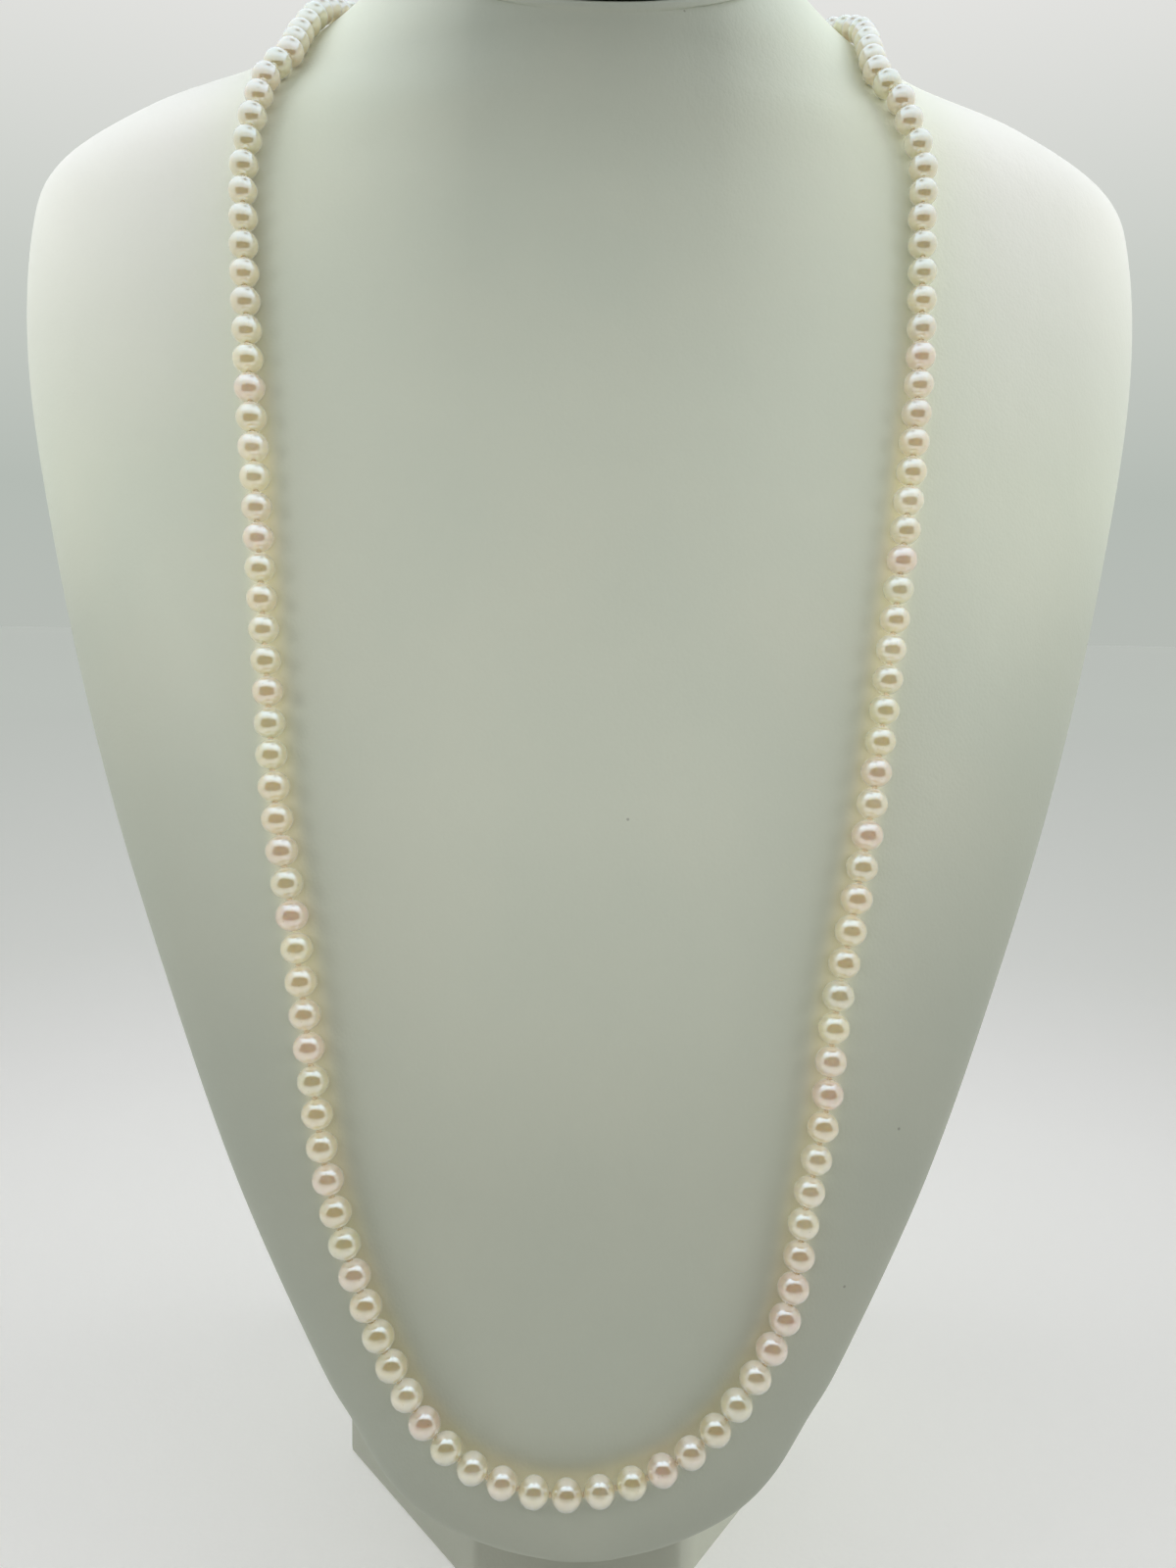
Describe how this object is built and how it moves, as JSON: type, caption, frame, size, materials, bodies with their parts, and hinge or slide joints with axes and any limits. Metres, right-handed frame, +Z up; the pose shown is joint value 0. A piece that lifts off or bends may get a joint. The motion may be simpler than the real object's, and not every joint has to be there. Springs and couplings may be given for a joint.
{
  "type": "long pearl necklace on a neck bust",
  "caption": "Long single-strand loop of round pearls with a nape clasp, worn on a leatherette neck bust with a slanted neck and a plinth.",
  "frame": {"origin": "bottom centre of the whole thing's bounding box, on the surface that the plinth stands on", "axes": "+Z up; the wearer's front, with the loop's lowest point, towards -Y; +X towards the right as seen from the front"},
  "size_m": [0.2862, 0.1642, 0.4177],
  "materials": {
    "pearl": "nacre with a soft lustre, cream to rose",
    "silk": "knotted silk thread",
    "clasp_metal": "polished silver",
    "leatherette": "matt white-grey leatherette with a fine grain"
  },
  "bodies": {
    "root": {"bust_form": "leatherette", "neck_cap": "leatherette", "plinth": "leatherette", "pearl_01": "pearl", "pearl_02": "pearl", "pearl_03": "pearl", "pearl_04": "pearl", "pearl_05": "pearl", "pearl_06": "pearl", "pearl_07": "pearl", "pearl_08": "pearl", "pearl_09": "pearl", "pearl_10": "pearl", "pearl_11": "pearl", "pearl_12": "pearl", "pearl_13": "pearl", "pearl_14": "pearl", "pearl_15": "pearl", "pearl_16": "pearl", "pearl_17": "pearl", "pearl_18": "pearl", "pearl_19": "pearl", "pearl_20": "pearl", "pearl_21": "pearl", "pearl_22": "pearl", "pearl_23": "pearl", "pearl_24": "pearl", "pearl_25": "pearl", "pearl_26": "pearl", "pearl_27": "pearl", "pearl_28": "pearl", "pearl_29": "pearl", "pearl_30": "pearl", "pearl_31": "pearl", "pearl_32": "pearl", "pearl_33": "pearl", "pearl_34": "pearl", "pearl_35": "pearl", "pearl_36": "pearl", "pearl_37": "pearl", "pearl_38": "pearl", "pearl_39": "pearl", "pearl_40": "pearl", "front_thread": "silk", "left_run_1": "pearl", "left_run_2": "pearl", "left_run_3": "pearl", "left_run_4": "pearl", "right_run_1": "pearl", "right_run_2": "pearl", "right_run_3": "pearl", "right_run_4": "pearl", "clasp": "clasp_metal"}
  },
  "joints": []
}
